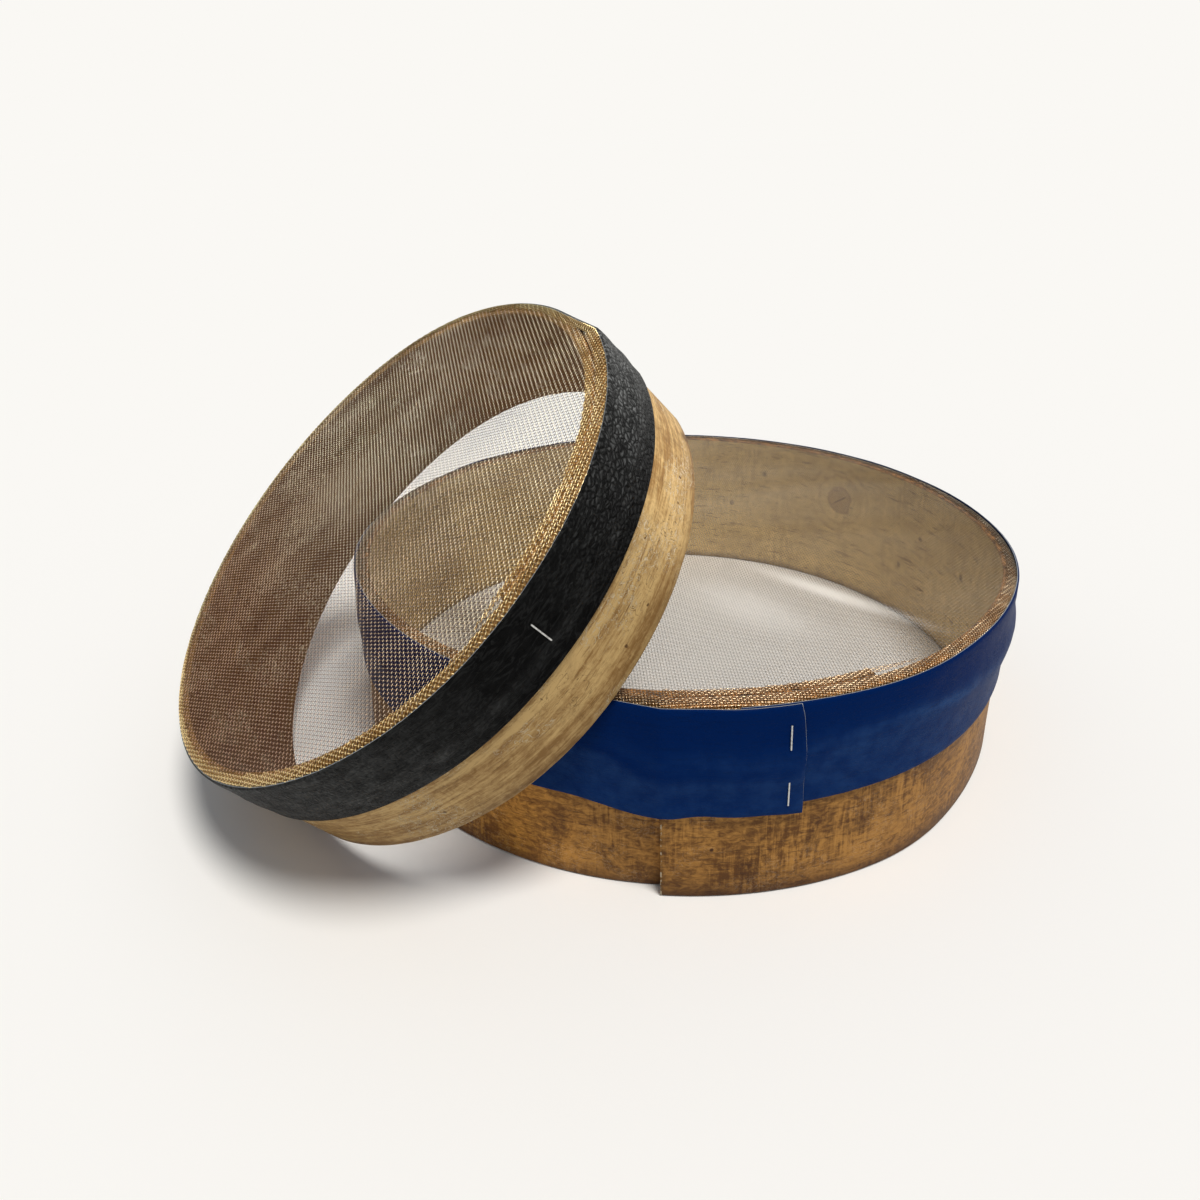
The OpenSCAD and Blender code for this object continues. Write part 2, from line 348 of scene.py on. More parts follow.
def bent_wood_effect():
    """Wood of a bent strip: grain along it, ray flecks up it, short dark pores,
    broad stains, a dark foot with a thin line of painted shade where it meets the
    floor, a paler rim, an inner face in a colour of its own that carries painted
    light or painted shade, and bright and dark scratches."""
    tree, n, given, out = effect(
        "bent_wood",
        {"vector": ["Place"], "colour": ["Pale", "Deep", "Stain", "Inside", "Rim"],
         "value": ["Inner depth", "Top", "Across", "Streaked", "Stained", "Pores", "Scratched"]},
        {"colour": ["Colour"], "value": ["Roughness", "Height"]})
    place = given["Place"]
    parts = n.split(place)
    broad = n.grain(place, 24, 60, 34, 5, 0.62, 0.4)
    fine = n.grain(place, 60, 700, 1000, 4, 0.62, 0.5)
    streaks = n.grain(place, 11, 300, 260, 4, 0.6, 0.5)
    medium = n.grain(place, 240, 300, 420, 5, 0.72, 0.8)
    flecks = n.grain(place, 640, 700, 60, 3, 0.6, 0.6)
    where = n.step(n.grain(place, 45, 45, 30, 3), 0.40, 0.62)
    lined = n.plus(0.10, n.times(given["Streaked"], 0.44))
    tone = n.plus(n.times(broad, 0.30), n.swing(fine, lined))
    tone = n.plus(tone, n.swing(medium, n.minus(0.70, lined)))
    tone = n.plus(tone, 0.35)
    tone = n.plus(tone, n.swing(streaks, given["Streaked"]))
    tone = n.plus(tone, n.swing(flecks, n.times(given["Across"], where)))
    # Inner face: its colour Inside is painted light on the standing hoop and painted shade on the
    # leaning one
    inner = n.maths("LESS_THAN", parts[1], given["Inner depth"])
    pale = n.mix(inner, given["Pale"], given["Inside"])
    deep = n.mix(inner, given["Deep"], n.mix(0.65, given["Deep"], given["Inside"]))
    colour = n.mix(n.step(tone, 0.38, 0.62), deep, pale)
    top = n.step(n.minus(parts[2], given["Top"]), -0.0012, -0.0004)
    colour = n.mix(top, colour, n.mix(n.step(medium, 0.35, 0.65), given["Deep"], given["Rim"]))
    patches = n.grain(place, 60, 80, 50, 6, 0.75, 0.6)
    foot = n.step(n.plus(parts[2], n.times(broad, 0.02)), 0.024, 0.008)
    stained = n.maths("MAXIMUM", n.step(patches, 0.50, 0.78), n.times(foot, 0.45))
    stained = n.times(stained, given["Stained"])
    covered = n.times(n.maths("MAXIMUM", inner, top), 0.7)
    stained = n.times(stained, n.minus(1.0, covered))
    colour = n.mix(stained, colour, given["Stain"])
    # A thin dark line along the strip's lowest edge: painted shade where the strip meets the floor
    edge = n.plus(parts[2], n.swing(patches, 0.008))
    foot_shade_line = n.times(n.step(edge, 0.0045, 0.0005), n.times(given["Stained"], 0.6))
    colour = n.mix(foot_shade_line, colour, given["Stain"])
    small = n.step(n.grain(place, 110, 800, 1500, 2, 0.5), 0.63, 0.72)
    large = n.step(n.grain(place, 85, 500, 700, 3, 0.6, 0.4), 0.66, 0.74)
    pitted = n.times(n.maths("MAXIMUM", small, large), given["Pores"])
    colour = n.mix(n.times(pitted, 0.75), colour, given["Stain"])
    dashes = n.step(n.grain(place, 55, 300, 400, 3, 0.6, 0.4), 0.62, 0.70)
    colour = n.mix(n.times(n.times(dashes, inner), 0.55), colour, given["Deep"])
    scratch = 0.0
    bright, dark = (0.95, 0.85, 0.66, 1), (0.12, 0.06, 0.02, 1)
    for x, z, limit, width, strength, tint in ((210, 300, 0.50, 0.030, 0.60, bright),
                                               (120, 190, 0.54, 0.010, 0.75, dark)):
        curls = n.grain(place, x, 230, z, 1.5, 0.6, 2.0)
        zones = n.grain(place, x * 0.2, 34, z * 0.2, 2, 0.5)
        line = n.times(n.step(n.off(curls, 0.5), width, width * 0.2),
                       n.step(zones, limit, limit + 0.08))
        line = n.times(line, given["Scratched"])
        colour = n.mix(n.times(line, strength), colour, n.mix(0.7, given["Pale"], tint))
        scratch = n.plus(scratch, line)
    n.feed(out["Colour"], colour)
    n.feed(out["Roughness"], n.plus(0.42, n.times(fine, 0.25)))
    height = n.minus(n.times(tone, 0.6), pitted)
    n.feed(out["Height"], n.minus(height, n.times(scratch, 0.8)))
    return tree


def hide_effect():
    """Leathercloth: cells of a pressed grain, each painted lit on one side and
    painted shaded on the other, fine creases whose lines darken the painted
    sheen as painted shade, wrinkles drawn as painted highlights, scuffs and
    specks, with a paler tone, a painted sheen, where the mask Sheen is high."""
    tree, n, given, out = effect(
        "leathercloth",
        {"vector": ["Place"], "colour": ["Colour", "Pale"],
         "value": ["Sheen", "Pebble", "Grained", "Creased", "Scuffed"]},
        {"colour": ["Colour"], "value": ["Roughness", "Height"]})
    place = given["Place"]
    warped = n.add("ShaderNodeTexNoise", Scale=260.0, Detail=2.0, Vector=place)
    mixed = n.vectors("MULTIPLY_ADD", warped.outputs["Color"], (0.0030, 0.0030, 0.0030), place)
    domes = []
    for aside in (-0.00030, 0.00030):
        shifted = n.vectors("ADD", mixed, (aside * 0.4, 0.0, aside))
        cells = n.add("ShaderNodeTexVoronoi", {"feature": "DISTANCE_TO_EDGE"},
                      Vector=shifted, Scale=given["Pebble"])
        domes.append(n.step(cells.outputs["Distance"], 0.0, 0.34))
    pebbles = n.times(domes[1], given["Grained"])
    # Painted light on the pebbles: each dome lit on one side
    lit = n.times(n.step(n.minus(domes[0], domes[1]), -0.35, 0.45), domes[0])
    creases = n.grain(place, 60, 400, 420, 4, 0.6, 1.2)
    lines = n.times(n.step(n.off(creases, 0.5), 0.035, 0.0), given["Creased"])
    rubbed = n.times(n.step(n.grain(place, 60, 60, 60, 5, 0.65), 0.5, 0.75), given["Scuffed"])
    specks = n.step(n.grain(place, 900, 900, 900, 1, 0.5), 0.74, 0.80)
    pale = n.plus(given["Sheen"], n.times(rubbed, 0.3), clamp=True)
    # Crease lines cut the painted sheen: painted shade in the creases
    pale = n.times(pale, n.minus(1.0, n.times(lines, 0.6)))
    folds = n.grain(place, 95, 300, 300, 3, 0.6, 1.0)
    wrinkles = n.times(n.step(n.off(folds, 0.5), 0.05, 0.0), given["Creased"])
    # Painted shade on each pebble's unlit side
    shaded = n.times(n.minus(1.0, lit), given["Grained"])
    pale = n.times(pale, n.minus(1.0, n.times(shaded, 0.92)))
    uneven = n.step(n.grain(place, 150, 150, 150, 3, 0.6), 0.3, 0.7)
    pale = n.times(pale, n.plus(0.55, uneven))
    # Lighter wrinkle lines: painted highlights along the wrinkles
    pale = n.plus(pale, n.times(wrinkles, 0.045))
    pale = n.plus(pale, n.times(n.times(specks, given["Scuffed"]), 2.0), clamp=True)
    n.feed(out["Colour"], n.mix(pale, given["Colour"], given["Pale"]))
    rough = n.plus(0.36, n.times(rubbed, 0.2))
    n.feed(out["Roughness"], n.plus(rough, n.times(n.grain(place, 700, 700, 700, 2), 0.06)))
    n.feed(out["Height"], n.minus(pebbles, n.times(lines, 0.8)))
    return tree


BENT_WOOD = bent_wood_effect()
LEATHERCLOTH = hide_effect()


def along_strip(nodes):
    return nodes.add("ShaderNodeAttribute", {"attribute_name": "Along"}).outputs["Vector"]


def on_object(nodes):
    return nodes.add("ShaderNodeTexCoord").outputs["Object"]


def along_at(s, q):
    """Metres along the strip, from its outer end, at an angle."""
    return math.radians(q) * s["r"] * MM


def spot_on(s, q, z):
    """Where a place on the strip, at an angle and a height, lies in its Along map."""
    return along_at(s, q), 0.0, z * MM


def knotted(n, s, flat, colour, q, z, size):
    """A round knot at an angle and a height: a brown heart with a slanting crack,
    a dark edge and rings of grain bent round it."""
    offset = n.vectors("SUBTRACT", flat, spot_on(s, q, z))
    rag = n.swing(n.grain(flat, 160, 160, 160, 3), 0.006)
    far = n.plus(n.vectors("LENGTH", offset), rag)
    size *= MM
    brown, black = (0.30, 0.15, 0.06, 1), (0.10, 0.04, 0.02, 1)
    colour = n.mix(n.times(n.step(far, size * 1.05, size * 0.9), 0.45), colour, brown)
    for ring, width, dark in ((1.0, 0.9, 0.55), (1.9, 1.0, 0.30), (2.6, 1.2, 0.2)):
        line = n.step(n.off(far, ring * size), width * MM, 0.2 * MM)
        colour = n.mix(n.times(line, dark), colour, brown)
    parts = n.split(offset)
    slant = n.maths("ABSOLUTE", n.plus(n.times(parts[0], 0.7), parts[2]))
    crack = n.times(n.step(slant, 0.7 * MM, 0.3 * MM), n.step(far, size * 0.8, size * 0.6))
    return n.mix(n.times(crack, 0.8), colour, black)


def wood_material(name, s, seed, pale, deep, stain, inside, rim, zone, marks, knot=None, **amounts):
    """Bent wood with its own marks: angle, height, size and darkness of holes and
    stains. zone gives the four angles between which a tint comes and goes, how
    strong it is, and the tint, which multiplies the colour there: painted light
    where it brightens, painted shade where it darkens. knot gives a knot's angle,
    height and size."""
    material, n, shader = new_material(name)
    place = along_strip(n)
    made = use(n, BENT_WOOD, Place=place, Pale=pale, Deep=deep, Stain=stain, Inside=inside,
               Rim=rim, Inner_depth=(seed - s["strip"] * 0.6) * MM, Top=s["h"] * MM, **amounts)
    colour = made["Colour"]
    flat = n.scaled(place, 1.0, 0.0, 1.0)
    rag = n.swing(n.grain(place, 700, 700, 700, 3), 0.0016)
    for q, z, size, dark in marks:
        away = n.vectors("DISTANCE", flat, spot_on(s, q, z))
        near = n.step(n.plus(away, rag), size * MM, size * 0.4 * MM)
        colour = n.mix(n.times(near, dark), colour, stain)
    if knot:
        colour = knotted(n, s, flat, colour, *knot)
    end = n.split(place)[0]
    *angles, strength, tint = zone
    first, second, third, fourth = (along_at(s, q) for q in angles)
    tinted = n.times(n.step(end, first, second), n.step(end, fourth, third))
    colour = n.mix(n.times(tinted, strength), colour, tint, "MULTIPLY")
    glue = n.times(n.step(end, 0.0007, 0.0004), n.step(n.grain(place, 500, 500, 500, 2), 0.5, 0.6))
    colour = n.mix(n.times(glue, 0.8), colour, (0.62, 0.52, 0.36, 1))
    n.fill(shader, Base_Color=colour, Roughness=made["Roughness"],
           Normal=bump(n, made["Height"], 0.0004, 0.5), Specular_IOR_Level=0.15)
    return material


def leathercloth_material(name, colour, pale, pebble, grained, creased, scuffed, shine,
                          smoother=None):
    """smoother gives two places along the strip, in metres, and how much of the
    grain is left past them."""
    material, n, shader = new_material(name)
    place = along_strip(n)
    if smoother:
        first, second, left = smoother
        kept = n.times(n.step(n.split(place)[0], second, first), 1.0 - left)
        grained = n.times(grained, n.plus(left, kept))
    made = use(n, LEATHERCLOTH, Place=place, Sheen=mask(n, "Sheen"), Colour=colour, Pale=pale,
               Pebble=pebble, Grained=grained, Creased=creased, Scuffed=scuffed)
    n.fill(shader, Base_Color=made["Colour"], Roughness=made["Roughness"],
           Normal=bump(n, made["Height"], 0.0004, 0.8), Specular_IOR_Level=shine)
    return material


def wire_material(name, bright, dull, roughness, low, high, broad_share=0.8,
                  broad_size=(14, 45, 20), tint=None, glints=()):
    """Wire painted bright on its crowns, the stretches where it passes over, as
    painted glints, partly like rubbed brass; where it dips under it is darker,
    partly tarnish and partly painted shade. tint gives an axis, the two places on
    it between which the wire takes on a tint, and the tint. glints are painted
    highlights, long soft spots: middle, turn, half sizes, strength."""
    material, n, shader = new_material(name)
    place = on_object(n)
    spots = n.grain(place, 800, 800, 800, 2, 0.6)
    broad = n.grain(place, *broad_size, 2, 0.5, 0.5)
    uneven = n.plus(n.times(spots, 0.6), n.times(broad, broad_share))
    # Crowns painted bright as glints, partly as if rubbed; dips darker, partly tarnish and partly
    # painted shade
    rubbed = n.plus(mask(n, "Crown"), n.minus(uneven, 0.3 + 0.5 * broad_share))
    colour = n.mix(n.step(rubbed, low, high), dull, bright)
    if tint:
        axis, start, end, tint_colour = tint
        tinted = n.step(n.split(place)[axis], start, end)
        colour = n.mix(tinted, colour, tint_colour, "MULTIPLY")
    for (x, y), turn, (long, wide), strength in glints:
        spot = n.add("ShaderNodeMapping", {"vector_type": "TEXTURE"}, Vector=place,
                     Location=(x, y, 0.0), Rotation=(0.0, 0.0, math.radians(turn)),
                     Scale=(long, wide, 1.0))
        shine = n.step(n.vectors("LENGTH", spot), 1.0, 0.1)
        colour = n.mix(n.times(shine, strength), colour, (0.95, 0.94, 0.92, 1))
    n.fill(shader, Base_Color=colour, Metallic=0.85,
           Roughness=n.plus(roughness, n.times(spots, 0.2)))
    return material


def plain_metal(name, colour, roughness):
    material, n, shader = new_material(name)
    spots = n.grain(on_object(n), 900, 900, 900, 3, 0.6)
    darker = [c * 0.55 for c in colour[:3]] + [1]
    n.fill(shader, Base_Color=n.mix(n.step(spots, 0.45, 0.7), colour, darker), Metallic=0.95,
           Roughness=n.plus(roughness, n.times(spots, 0.2)), Normal=bump(n, spots, 0.00005, 0.3))
    return material


def cut_edge_material():
    material, n, shader = new_material("cut_cloth_edge")
    threads = n.grain(on_object(n), 1800, 1800, 1800, 3, 0.6)
    dark, light = (0.12, 0.14, 0.17, 1), (0.42, 0.45, 0.47, 1)
    n.fill(shader, Base_Color=n.mix(threads, dark, light), Roughness=0.9,
           Normal=bump(n, threads, 0.0002, 0.6))
    return material


# Where each hoop's grain lies in the shared wood pattern, in millimetres of depth
STAND_GRAIN = 3.0
LEAN_GRAIN = 7.0
DARK_WOOD = wood_material(
    "dark_bent_wood", STAND, STAND_GRAIN,
    pale=(0.41, 0.198, 0.045, 1), deep=(0.115, 0.046, 0.010, 1), stain=(0.045, 0.016, 0.006, 1),
    # inside is painted light: far paler than the outer face, to make up for the shade inside the
    # standing sieve
    inside=(0.92, 0.66, 0.28, 1), rim=(0.80, 0.38, 0.12, 1),
    # zone is painted light: a paler stretch left of the lap that makes up for the leaning sieve's
    # shadow on it
    zone=(300, 335, 338, 352, 1.0, (1.7, 1.65, 1.35, 1)),
    marks=[(6.8, 21.2, 0.9, 0.95), (120.0, 30.0, 2.0, 0.6), (158.0, 62.0, 2.0, 0.6),
           (98.0, 48.0, 2.5, 0.6), (166.0, 40.0, 2.2, 0.6), (114.0, 52.0, 2.0, 0.6)],
    knot=(138.1, 55.6, 8.0),
    Across=0.60, Streaked=0.15, Stained=1.0, Pores=0.8, Scratched=0.15)
PALE_WOOD = wood_material(
    "pale_bent_wood", LEAN, LEAN_GRAIN,
    pale=(0.93, 0.63, 0.27, 1), deep=(0.42, 0.225, 0.070, 1), stain=(0.13, 0.058, 0.018, 1),
    # inside is painted shade: a dark wall standing for the shade inside the leaning sieve
    inside=(0.20, 0.082, 0.040, 1), rim=(0.80, 0.42, 0.14, 1),
    # zone: a greyer, darker stretch over most of the strip, partly greyer wood and partly painted
    # shade on the side turned from the light
    zone=(22, 52, 250, 300, 0.95, (0.50, 0.49, 0.46, 1)),
    marks=[(56.0, 8.9, 0.9, 0.9), (48.3, 9.0, 0.8, 0.9), (39.4, 22.6, 0.6, 0.8),
           (22.5, 10.7, 0.9, 0.9), (28.4, 10.4, 0.7, 0.8), (97.6, 11.4, 0.9, 0.8),
           (8.0, 2.0, 4.0, 0.7)],
    Across=0.15, Streaked=0.5, Stained=0.42, Pores=0.5, Scratched=1.3)
# pale is the tone of each band's painted sheen, laid where the mask Sheen is high
NAVY = leathercloth_material(
    "navy_leathercloth", colour=(0.0, 0.0122, 0.078, 1), pale=(0.016, 0.052, 0.160, 1),
    pebble=900.0, grained=0.10, creased=0.25, scuffed=0.1, shine=0.015)
BLACK = leathercloth_material(
    "black_leathercloth", colour=(0.0010, 0.0010, 0.0011, 1), pale=(0.24, 0.245, 0.24, 1),
    pebble=430.0, grained=1.0, creased=0.8, scuffed=0.02, shine=0.03, smoother=(0.82, 0.89, 0.4))
# Tints of the wires: axis, the two places on it that the tint comes in between, tint
# LOW_RED is painted shade: the leaning cloth's wires turn darker and redder lower down
LOW_RED = (2, 0.14, 0.06, (0.85, 0.62, 0.56, 1))
FAR_GREY = (1, -0.085, -0.03, (0.30, 0.34, 0.40, 1))
FAR_PALE_GREY = (1, -0.06, -0.01, (0.55, 0.60, 0.60, 1))
# The fine wire's strong broad noise paints soft sheen streaks, and its two glints are painted
# highlights on the standing cloth
FINE_WIRE = wire_material(
    "fine_bronze_wire", bright=(0.27, 0.245, 0.215, 1), dull=(0.13, 0.10, 0.075, 1),
    roughness=0.3, low=0.35, high=0.85, broad_share=1.6, broad_size=(9, 22, 20),
    glints=[((0.100, -0.064), -46.0, (0.058, 0.008), 0.9),
            ((0.060, -0.070), -52.0, (0.048, 0.020), 0.4)])
# The leaning cloth's two directions are one brass in painted lit and painted shaded copies: the
# warp glints, the weft lies in painted shade
LIT_WIRE = wire_material(
    "lit_brass_wire", bright=(1.0, 0.90, 0.66, 1), dull=(0.07, 0.038, 0.02, 1),
    roughness=0.2, low=0.55, high=0.85, tint=LOW_RED)
SHADED_WIRE = wire_material(
    "shaded_brass_wire", bright=(0.20, 0.135, 0.07, 1), dull=(0.07, 0.040, 0.022, 1),
    roughness=0.35, low=0.4, high=0.8, tint=LOW_RED)
BRONZE_FOLD = wire_material(
    "bronze_fold_wire", bright=(1.0, 0.76, 0.48, 1), dull=(0.20, 0.095, 0.040, 1),
    roughness=0.2, low=0.45, high=0.85, broad_share=1.2, broad_size=(40, 60, 40), tint=FAR_GREY)
GOLD_FOLD = wire_material(
    "brass_fold_wire", bright=(1.0, 0.80, 0.42, 1), dull=(0.36, 0.20, 0.06, 1),
    roughness=0.25, low=0.45, high=0.85, broad_share=1.2, broad_size=(40, 60, 40),
    tint=FAR_PALE_GREY)
STAPLE = plain_metal("staple_steel", (0.58, 0.58, 0.56, 1), 0.22)
NAIL = plain_metal("nail_iron", (0.06, 0.045, 0.035, 1), 0.55)
CUT_EDGE = cut_edge_material()


# ---- wooden hoops ----

def build_hoop(s, material, seed):
    """One strip bent round and lapped on itself, with worn edges."""
    last = 360.0 + s["lap"]
    count = 300
    corner, reach_of_wear = 0.8, 3.0
    sections, along = [], []
    for i in range(count + 1):
        q = last * i / count
        r = strip_radius(s, q)
        a = math.radians(q)
        ring, place = [], []
        for x, z in hoop_section(s["strip"], s["h"], corner):
            low = 1.0 - min(1.0, z / reach_of_wear)
            high = 1.0 - min(1.0, (s["h"] - z) / reach_of_wear)
            worn = (0.25 * low * max(0.0, wave(q * 0.35, seed, 1.0))
                    - 0.2 * high * max(0.0, wave(q * 0.3, seed, 9.0)))
            out = r + x + sprung(s, q, z)
            ring.append((out * math.cos(a), out * math.sin(a), z + worn))
            place.append((a * s["r"] * MM, (x + seed) * MM, z * MM))
        sections.append(ring)
        along.append(place)
    name = s["name"] + "_bent_strip"
    to_object(name, s, swept_shell(name, sections, along), material, [s["name"] + "_hoop"])


def hoop_section(w, h, r, rows=8):
    """A rounded section with points up both its faces, so that the strip can flare."""
    round_points = rounded_section(w, h, r)
    points = []
    for i, (x, z) in enumerate(round_points):
        points.append((x, z))
        x2, z2 = round_points[(i + 1) % len(round_points)]
        if abs(z2 - z) > h / 2:
            points.extend((x + (x2 - x) * k / rows, z + (z2 - z) * k / rows)
                          for k in range(1, rows))
    return points


# ---- woven wire cloth ----

def socket(tree, name, kind):
    return tree.interface.new_socket(name, in_out="INPUT", socket_type=kind).identifier


# How much sooner a ring ends on its inner side, in radians to a millimetre
ARC_SLANT = 0.045


def woven_wires_tree():
    """Wires of one direction of a plain weave, inside a disc or a ring. The weave
    is a lattice whose two steps may lie askew. Every wire goes up and down over
    its neighbours."""
    tree = bpy.data.node_groups.new("woven_wires", "GeometryNodeTree")
    keys = {name: socket(tree, name, kind) for name, kind in (
        ("Cloth radius", "NodeSocketFloat"), ("Hole radius", "NodeSocketFloat"),
        ("Step along", "NodeSocketVector"), ("Step across", "NodeSocketVector"),
        ("Count along", "NodeSocketInt"), ("Count across", "NodeSocketInt"),
        ("Wire", "NodeSocketFloat"), ("Crimp", "NodeSocketFloat"),
        ("From", "NodeSocketFloat"), ("To", "NodeSocketFloat"), ("Arc", "NodeSocketFloat"),
        ("Material", "NodeSocketMaterial"))}
    tree.interface.new_socket("Geometry", in_out="OUTPUT", socket_type="NodeSocketGeometry")
    n = Nodes(tree)
    given = tree.nodes.new("NodeGroupInput").outputs
    end = tree.nodes.new("NodeGroupOutput")
    grid = n.add("GeometryNodeMeshGrid", Size_X=n.minus(given["Count along"], 1.0),
                 Size_Y=n.minus(given["Count across"], 1.0),
                 Vertices_X=given["Count along"], Vertices_Y=given["Count across"])
    spot = tree.nodes.new("GeometryNodeInputPosition").outputs[0]
    xyz = n.split(spot)
    before = n.maths("LESS_THAN", xyz[1], given["From"])
    after = n.maths("GREATER_THAN", xyz[1], given["To"])
    share = n.add("GeometryNodeDeleteGeometry", {"domain": "POINT", "mode": "ALL"},
                  Geometry=grid, Selection=n.maths("MAXIMUM", before, after))
    ends = tree.nodes.new("GeometryNodeInputMeshEdgeVertices").outputs
    span = n.split(n.vectors("SUBTRACT", ends["Position 1"], ends["Position 2"]))
    crossing = n.maths("GREATER_THAN", n.off(span[1], 0.0), n.off(span[0], 0.0))
    lines = n.add("GeometryNodeDeleteGeometry", {"domain": "EDGE", "mode": "EDGE_FACE"},
                  Geometry=share, Selection=crossing)
    odd = n.maths("PINGPONG", n.maths("ROUND", n.plus(xyz[0], xyz[1])), 1.0)
    lift = n.times(n.minus(n.times(odd, 2.0), 1.0), given["Crimp"])
    steps = [n.add("ShaderNodeVectorMath", {"operation": "SCALE"}, Vector=step, Scale=part)
             for part, step in ((xyz[0], given["Step along"]), (xyz[1], given["Step across"]))]
    place = n.vectors("ADD", n.vectors("ADD", *steps), n.add("ShaderNodeCombineXYZ", Z=lift))
    laid = n.add("GeometryNodeSetPosition", Geometry=lines, Position=place)
    length = n.vectors("LENGTH", spot)
    outside = n.maths("GREATER_THAN", length, given["Cloth radius"])
    hole = n.maths("LESS_THAN", length, given["Hole radius"])
    turn = n.maths("WRAP", n.maths("ARCTAN2", xyz[1], xyz[0]), 2.0 * math.pi, 0.0)
    inward = n.minus(given["Cloth radius"], length)
    arc_end = n.minus(given["Arc"], n.times(inward, ARC_SLANT))
    off_ring = n.maths("MAXIMUM", outside, hole)
    beyond = n.maths("GREATER_THAN", turn, arc_end)
    kept = n.add("GeometryNodeDeleteGeometry", {"domain": "POINT", "mode": "ALL"},
                 Geometry=laid, Selection=n.maths("MAXIMUM", beyond, off_ring))
    curves = n.add("GeometryNodeMeshToCurve", Mesh=kept)
    profile = n.add("GeometryNodeCurvePrimitiveCircle", {"mode": "RADIUS"}, Resolution=3,
                    Radius=n.times(given["Wire"], 0.5))
    solid = n.add("GeometryNodeCurveToMesh", Curve=curves, Profile_Curve=profile, Fill_Caps=True)
    coloured = n.add("GeometryNodeSetMaterial", Geometry=solid, Material=given["Material"])
    n.feed(end.inputs[0], coloured)
    return tree, keys


WOVEN_WIRES, WIRE_KEYS = woven_wires_tree()


def grown(name, values):
    """The mesh of the woven wires that these values give."""
    holder = bpy.data.objects.new(name + "_seed", bpy.data.meshes.new(name + "_seed"))
    bpy.context.scene.collection.objects.link(holder)
    modifier = holder.modifiers.new("grow", "NODES")
    modifier.node_group = WOVEN_WIRES
    for key, value in values.items():
        modifier[WIRE_KEYS[key]] = value
    bpy.context.view_layer.update()
    graph = bpy.context.evaluated_depsgraph_get()
    mesh = bpy.data.meshes.new_from_object(holder.evaluated_get(graph))
    mesh.name = name
    bpy.data.objects.remove(holder)
    return mesh


def outline_table(s, out):
    angles = np.arange(0.0, 361.0, 1.0)  # degrees
    return angles, np.array([outline(s, out, q) for q in angles])


def soft_field(x, y, seed):
    """Broad, smooth unevenness of a stretched cloth, from about -1 to 1."""
    return (np.sin(x * 0.021 + seed) * np.cos(y * 0.017 - 1.3 * seed)
            + 0.6 * np.sin(x * 0.043 + y * 0.031 + 2.1 * seed)
            + 0.4 * np.cos(x * 0.013 - y * 0.052 + 0.7 * seed)) / 2.0


def drape(s, points, sag, seed, follow, lift):
    """Lays flat cloth over the sieve: taut inside, over the strip's top edge and
    down its outside. points are flat, with their height as z. follow is "outer"
    or "inner" where a ring lies on the strip's outer or inner layer."""
    x, y, z = points[:, 0], points[:, 1], points[:, 2]
    q = np.degrees(np.arctan2(y, x)) % 360.0
    length = np.hypot(x, y)
    corner = 1.6
    rim = np.interp(q, *outline_table(s, 0.0))
    spring = sprung(s, q, s["h"])
    edge = rim - corner + spring
    flat = length
    if follow:
        flat = length + spring + (rim - s["r"] if follow == "outer" else 0.0)
    inside = np.clip(1.0 - flat / (s["r"] - s["strip"] - 1.0), 0.0, 1.0)
    pull = inside * (2.0 - inside)
    dip = -sag * pull + sag * 0.35 * pull * soft_field(x, y, seed)
    over = np.maximum(flat - edge, 0.0)
    radius = corner + lift
    bend = np.minimum(over / radius, math.pi / 2)
    down = np.maximum(over - radius * math.pi / 2, 0.0)
    out = np.where(flat < edge, flat, edge + (radius + z) * np.sin(bend))
    up = np.where(flat < edge, s["h"] + lift + z + dip,
                  s["h"] - corner + (radius + z) * np.cos(bend) - down)
    k = out / np.maximum(length, 1e-9)
    return np.stack([x * k, y * k, up], axis=1)


# An angle past any turn, for a ring that goes all the way round
NO_END = 1000.0


def lattice(lines):
    """Steps of the lattice whose two families of wires have these spacings and
    directions of spacing, in millimetres and degrees."""
    waves = np.array([[math.cos(math.radians(a)) / p, math.sin(math.radians(a)) / p]
                      for p, a in lines])
    steps = np.linalg.inv(waves)
    return steps[:, 0], steps[:, 1]


